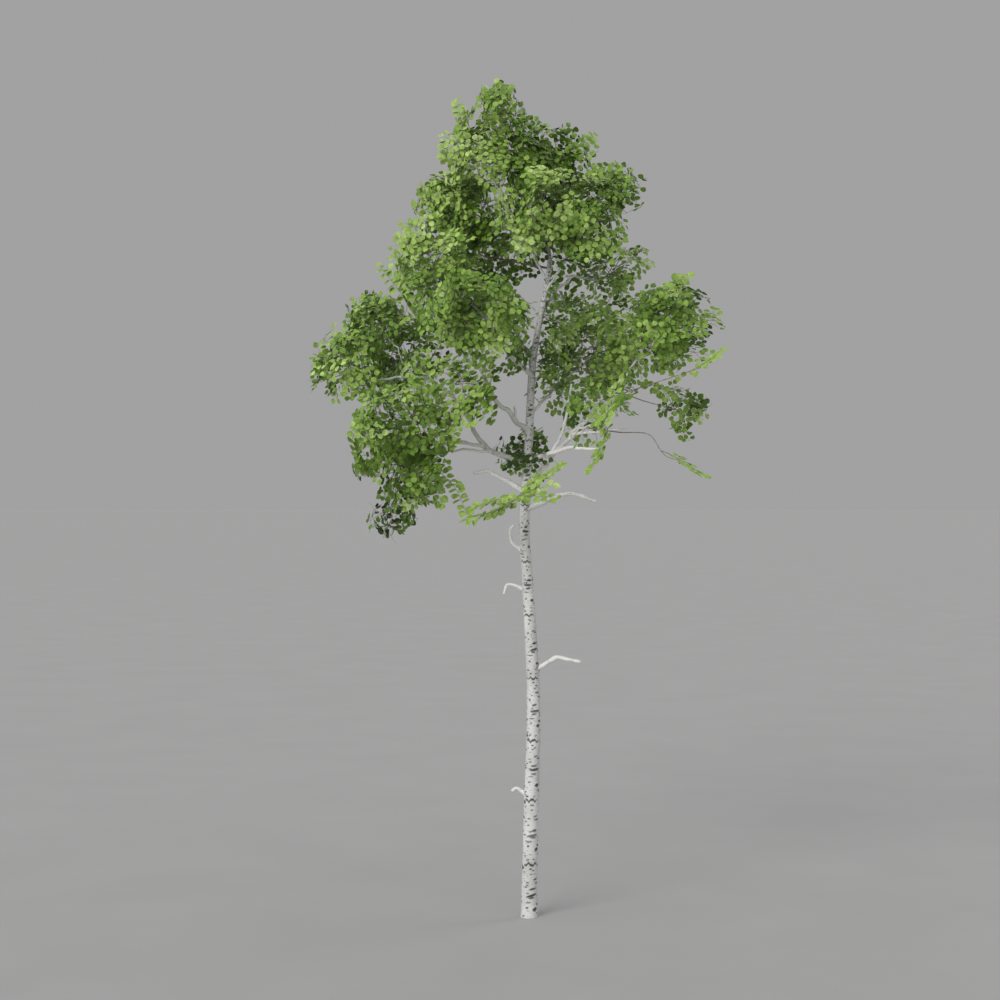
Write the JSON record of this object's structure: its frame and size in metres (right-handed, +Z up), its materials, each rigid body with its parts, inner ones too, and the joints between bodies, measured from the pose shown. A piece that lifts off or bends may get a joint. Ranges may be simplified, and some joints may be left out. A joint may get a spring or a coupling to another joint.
{
  "type": "aspen tree",
  "caption": "Slender white-barked aspen tree in summer leaf, with a bare lower trunk, dead limbs and stubs, and an open crown of leafy boughs.",
  "frame": {"origin": "centre of the flat cut under the trunk, at ground level", "axes": "+Z up the trunk, +X to the right in the picture, +Y away from the camera"},
  "size_m": [4.3344, 3.5485, 8.9502],
  "materials": {
    "bark": "chalky white bark with dark lenticels and scars",
    "dead_wood": "weathered grey dead wood",
    "foliage": "thin matt-satin green leaves"
  },
  "bodies": {
    "root": {"bough_back_left": "bark", "bough_back_right": "bark", "bough_fork_right": "bark", "bough_left_back": "bark", "bough_left_droop": "bark", "bough_left_far": "bark", "bough_left_far_high": "bark", "bough_left_front": "bark", "bough_left_inner": "bark", "bough_left_low": "bark", "bough_left_shoulder": "bark", "bough_left_trail": "bark", "bough_right_back": "bark", "bough_right_far": "bark", "bough_right_inner": "bark", "bough_right_low": "bark", "bough_right_tip": "bark", "bough_right_trail": "bark", "bough_top_left": "bark", "bough_upper_left": "bark", "bough_upper_right": "bark", "dead_left_long": "dead_wood", "dead_left_low": "dead_wood", "dead_left_mid": "dead_wood", "dead_right_far": "dead_wood", "dead_right_long": "dead_wood", "dead_right_mid": "dead_wood", "dead_right_up": "dead_wood", "leaves_back_left": "foliage", "leaves_back_low": "foliage", "leaves_back_right": "foliage", "leaves_fork_left": "foliage", "leaves_fork_right": "foliage", "leaves_front_low": "foliage", "leaves_left_back": "foliage", "leaves_left_droop": "foliage", "leaves_left_far": "foliage", "leaves_left_far_high": "foliage", "leaves_left_front": "foliage", "leaves_left_inner": "foliage", "leaves_left_low": "foliage", "leaves_left_shoulder": "foliage", "leaves_left_trail": "foliage", "leaves_right_back": "foliage", "leaves_right_far": "foliage", "leaves_right_inner": "foliage", "leaves_right_low": "foliage", "leaves_right_tip": "foliage", "leaves_right_trail": "foliage", "leaves_top": "foliage", "leaves_top_left": "foliage", "leaves_top_right": "foliage", "leaves_upper_front": "foliage", "leaves_upper_left": "foliage", "leaves_upper_right": "foliage", "stub_left_foot": "dead_wood", "stub_left_hook": "dead_wood", "stub_left_up": "dead_wood", "stub_right": "dead_wood", "trunk": "bark"}
  },
  "joints": []
}
